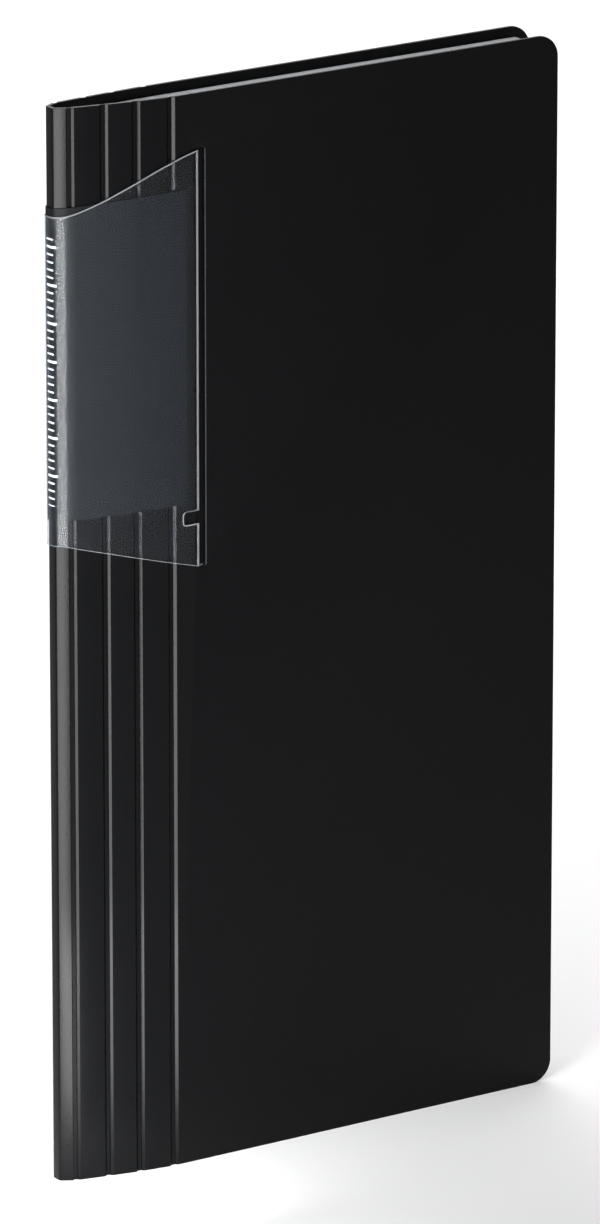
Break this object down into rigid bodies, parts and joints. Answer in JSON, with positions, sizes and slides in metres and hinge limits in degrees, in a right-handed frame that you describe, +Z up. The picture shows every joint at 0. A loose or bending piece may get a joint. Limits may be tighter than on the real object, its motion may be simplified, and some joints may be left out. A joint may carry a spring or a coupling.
{
  "type": "business card album",
  "caption": "Tall slim album for business cards: a creased plastic cover folded round bound leaves of clear pockets, with a clear label sleeve round the spine.",
  "frame": {"origin": "middle of the base that the closed album stands on, at the centre of its outline", "axes": "+Z up along the spine, +X from the spine to the fore edge, +Y from the front cover to the back cover"},
  "size_m": [0.1508, 0.0152, 0.286],
  "materials": {
    "cover": "matte black polypropylene with a fine embossed grain",
    "binding": "plain dark polypropylene",
    "label_card": "dark blue-grey card, uncoated",
    "label_sleeve": "clear glossy film",
    "leaf_sheet": "pale translucent polypropylene sheet",
    "pocket_film": "clear soft film, welded in a grid"
  },
  "bodies": {
    "spine": {"spine_face": "cover", "binding_strip": "binding", "label_card": "label_card", "label_sleeve": "label_sleeve"},
    "front_facet": {"front_facet": "cover"},
    "front_strip_1": {"front_strip_1": "cover"},
    "front_strip_2": {"front_strip_2": "cover"},
    "front_strip_3": {"front_strip_3": "cover"},
    "front_cover": {"front_cover": "cover"},
    "back_facet": {"back_facet": "cover"},
    "back_strip_1": {"back_strip_1": "cover"},
    "back_strip_2": {"back_strip_2": "cover"},
    "back_strip_3": {"back_strip_3": "cover"},
    "back_cover": {"back_cover": "cover"},
    "leaf_01": {"leaf_01_sheet": "leaf_sheet", "leaf_01_front_pockets": "pocket_film", "leaf_01_back_pockets": "pocket_film"},
    "leaf_02": {"leaf_02_sheet": "leaf_sheet", "leaf_02_front_pockets": "pocket_film", "leaf_02_back_pockets": "pocket_film"},
    "leaf_03": {"leaf_03_sheet": "leaf_sheet", "leaf_03_front_pockets": "pocket_film", "leaf_03_back_pockets": "pocket_film"},
    "leaf_04": {"leaf_04_sheet": "leaf_sheet", "leaf_04_front_pockets": "pocket_film", "leaf_04_back_pockets": "pocket_film"},
    "leaf_05": {"leaf_05_sheet": "leaf_sheet", "leaf_05_front_pockets": "pocket_film", "leaf_05_back_pockets": "pocket_film"},
    "leaf_06": {"leaf_06_sheet": "leaf_sheet", "leaf_06_front_pockets": "pocket_film", "leaf_06_back_pockets": "pocket_film"},
    "leaf_07": {"leaf_07_sheet": "leaf_sheet", "leaf_07_front_pockets": "pocket_film", "leaf_07_back_pockets": "pocket_film"},
    "leaf_08": {"leaf_08_sheet": "leaf_sheet", "leaf_08_front_pockets": "pocket_film", "leaf_08_back_pockets": "pocket_film"},
    "leaf_09": {"leaf_09_sheet": "leaf_sheet", "leaf_09_front_pockets": "pocket_film", "leaf_09_back_pockets": "pocket_film"},
    "leaf_10": {"leaf_10_sheet": "leaf_sheet", "leaf_10_front_pockets": "pocket_film", "leaf_10_back_pockets": "pocket_film"},
    "leaf_11": {"leaf_11_sheet": "leaf_sheet", "leaf_11_front_pockets": "pocket_film", "leaf_11_back_pockets": "pocket_film"},
    "leaf_12": {"leaf_12_sheet": "leaf_sheet", "leaf_12_front_pockets": "pocket_film", "leaf_12_back_pockets": "pocket_film"},
    "leaf_13": {"leaf_13_sheet": "leaf_sheet", "leaf_13_front_pockets": "pocket_film", "leaf_13_back_pockets": "pocket_film"},
    "leaf_14": {"leaf_14_sheet": "leaf_sheet", "leaf_14_front_pockets": "pocket_film", "leaf_14_back_pockets": "pocket_film"},
    "leaf_15": {"leaf_15_sheet": "leaf_sheet", "leaf_15_front_pockets": "pocket_film", "leaf_15_back_pockets": "pocket_film"}
  },
  "joints": [
    {"name": "front_spine_crease", "type": "hinge", "parent": "spine", "child": "front_facet", "pos_m": [-0.07365, 0.00057, 0.143], "axis": [0, 0, -1], "range_deg": [0, 52], "deforming": ["label_sleeve", "label_card"]},
    {"name": "front_crease_1", "type": "hinge", "parent": "front_facet", "child": "front_strip_1", "pos_m": [-0.07105, -0.00106, 0.143], "axis": [0, 0, -1], "range_deg": [0, 14.05]},
    {"name": "front_crease_2", "type": "hinge", "parent": "front_strip_1", "child": "front_strip_2", "pos_m": [-0.06213, -0.00297, 0.143], "axis": [0, 0, -1], "range_deg": [0, 8.05]},
    {"name": "front_crease_3", "type": "hinge", "parent": "front_strip_2", "child": "front_strip_3", "pos_m": [-0.05364, -0.00468, 0.143], "axis": [0, 0, -1], "range_deg": [0, 8.05]},
    {"name": "front_crease_4", "type": "hinge", "parent": "front_strip_3", "child": "front_cover", "pos_m": [-0.04402, -0.0059, 0.143], "axis": [0, 0, -1], "range_deg": [0, 8.05]},
    {"name": "back_spine_crease", "type": "hinge", "parent": "spine", "child": "back_facet", "pos_m": [-0.07365, 0.00266, 0.143], "axis": [0, 0, 1], "range_deg": [0, 52], "deforming": ["label_sleeve", "label_card"]},
    {"name": "back_crease_1", "type": "hinge", "parent": "back_facet", "child": "back_strip_1", "pos_m": [-0.07111, 0.00425, 0.143], "axis": [0, 0, 1], "range_deg": [0, 20.05]},
    {"name": "back_crease_2", "type": "hinge", "parent": "back_strip_1", "child": "back_strip_2", "pos_m": [-0.06209, 0.00494, 0.143], "axis": [0, 0, 1], "range_deg": [0, 6.05]},
    {"name": "back_crease_3", "type": "hinge", "parent": "back_strip_2", "child": "back_strip_3", "pos_m": [-0.05342, 0.00549, 0.143], "axis": [0, 0, 1], "range_deg": [0, 6.05]},
    {"name": "back_crease_4", "type": "hinge", "parent": "back_strip_3", "child": "back_cover", "pos_m": [-0.04366, 0.0059, 0.143], "axis": [0, 0, 1], "range_deg": [0, 6.05]},
    {"name": "leaf_01_fold", "type": "hinge", "parent": "spine", "child": "leaf_01", "pos_m": [-0.07005, -0.00081, 0.143], "axis": [0, 0, -1], "range_deg": [0, 77.05]},
    {"name": "leaf_02_fold", "type": "hinge", "parent": "spine", "child": "leaf_02", "pos_m": [-0.06975, -0.00048, 0.143], "axis": [0, 0, -1], "range_deg": [0, 67.42]},
    {"name": "leaf_03_fold", "type": "hinge", "parent": "spine", "child": "leaf_03", "pos_m": [-0.06945, -0.00014, 0.143], "axis": [0, 0, -1], "range_deg": [0, 57.8]},
    {"name": "leaf_04_fold", "type": "hinge", "parent": "spine", "child": "leaf_04", "pos_m": [-0.06915, 0.00019, 0.143], "axis": [0, 0, -1], "range_deg": [0, 48.17]},
    {"name": "leaf_05_fold", "type": "hinge", "parent": "spine", "child": "leaf_05", "pos_m": [-0.06885, 0.00053, 0.143], "axis": [0, 0, -1], "range_deg": [0, 38.55]},
    {"name": "leaf_06_fold", "type": "hinge", "parent": "spine", "child": "leaf_06", "pos_m": [-0.06855, 0.00086, 0.143], "axis": [0, 0, -1], "range_deg": [0, 28.93]},
    {"name": "leaf_07_fold", "type": "hinge", "parent": "spine", "child": "leaf_07", "pos_m": [-0.06825, 0.0012, 0.143], "axis": [0, 0, -1], "range_deg": [0, 19.3]},
    {"name": "leaf_08_fold", "type": "hinge", "parent": "spine", "child": "leaf_08", "pos_m": [-0.06795, 0.00153, 0.143], "axis": [0, 0, -1], "range_deg": [0, 9.68]},
    {"name": "leaf_09_fold", "type": "hinge", "parent": "spine", "child": "leaf_09", "pos_m": [-0.06825, 0.00187, 0.143], "axis": [0, 0, 1], "range_deg": [0, 11.05]},
    {"name": "leaf_10_fold", "type": "hinge", "parent": "spine", "child": "leaf_10", "pos_m": [-0.06855, 0.0022, 0.143], "axis": [0, 0, 1], "range_deg": [0, 22.05]},
    {"name": "leaf_11_fold", "type": "hinge", "parent": "spine", "child": "leaf_11", "pos_m": [-0.06885, 0.00254, 0.143], "axis": [0, 0, 1], "range_deg": [0, 33.05]},
    {"name": "leaf_12_fold", "type": "hinge", "parent": "spine", "child": "leaf_12", "pos_m": [-0.06915, 0.00287, 0.143], "axis": [0, 0, 1], "range_deg": [0, 44.05]},
    {"name": "leaf_13_fold", "type": "hinge", "parent": "spine", "child": "leaf_13", "pos_m": [-0.06945, 0.00321, 0.143], "axis": [0, 0, 1], "range_deg": [0, 55.05]},
    {"name": "leaf_14_fold", "type": "hinge", "parent": "spine", "child": "leaf_14", "pos_m": [-0.06975, 0.00354, 0.143], "axis": [0, 0, 1], "range_deg": [0, 66.05]},
    {"name": "leaf_15_fold", "type": "hinge", "parent": "spine", "child": "leaf_15", "pos_m": [-0.07005, 0.00388, 0.143], "axis": [0, 0, 1], "range_deg": [0, 77.05]}
  ],
  "couplings": [
    {"joint": "front_crease_1", "follows": "front_spine_crease", "ratio": 0.26923},
    {"joint": "front_crease_2", "follows": "front_spine_crease", "ratio": 0.15385},
    {"joint": "front_crease_3", "follows": "front_spine_crease", "ratio": 0.15385},
    {"joint": "front_crease_4", "follows": "front_spine_crease", "ratio": 0.15385},
    {"joint": "back_crease_1", "follows": "back_spine_crease", "ratio": 0.38462},
    {"joint": "back_crease_2", "follows": "back_spine_crease", "ratio": 0.11538},
    {"joint": "back_crease_3", "follows": "back_spine_crease", "ratio": 0.11538},
    {"joint": "back_crease_4", "follows": "back_spine_crease", "ratio": 0.11538},
    {"joint": "leaf_01_fold", "follows": "front_spine_crease", "ratio": 1.4808},
    {"joint": "leaf_02_fold", "follows": "front_spine_crease", "ratio": 1.2957},
    {"joint": "leaf_03_fold", "follows": "front_spine_crease", "ratio": 1.1106},
    {"joint": "leaf_04_fold", "follows": "front_spine_crease", "ratio": 0.92548},
    {"joint": "leaf_05_fold", "follows": "front_spine_crease", "ratio": 0.74038},
    {"joint": "leaf_06_fold", "follows": "front_spine_crease", "ratio": 0.55529},
    {"joint": "leaf_07_fold", "follows": "front_spine_crease", "ratio": 0.37019},
    {"joint": "leaf_08_fold", "follows": "front_spine_crease", "ratio": 0.1851},
    {"joint": "leaf_09_fold", "follows": "back_spine_crease", "ratio": 0.21154},
    {"joint": "leaf_10_fold", "follows": "back_spine_crease", "ratio": 0.42308},
    {"joint": "leaf_11_fold", "follows": "back_spine_crease", "ratio": 0.63462},
    {"joint": "leaf_12_fold", "follows": "back_spine_crease", "ratio": 0.84615},
    {"joint": "leaf_13_fold", "follows": "back_spine_crease", "ratio": 1.0577},
    {"joint": "leaf_14_fold", "follows": "back_spine_crease", "ratio": 1.2692},
    {"joint": "leaf_15_fold", "follows": "back_spine_crease", "ratio": 1.4808}
  ]
}
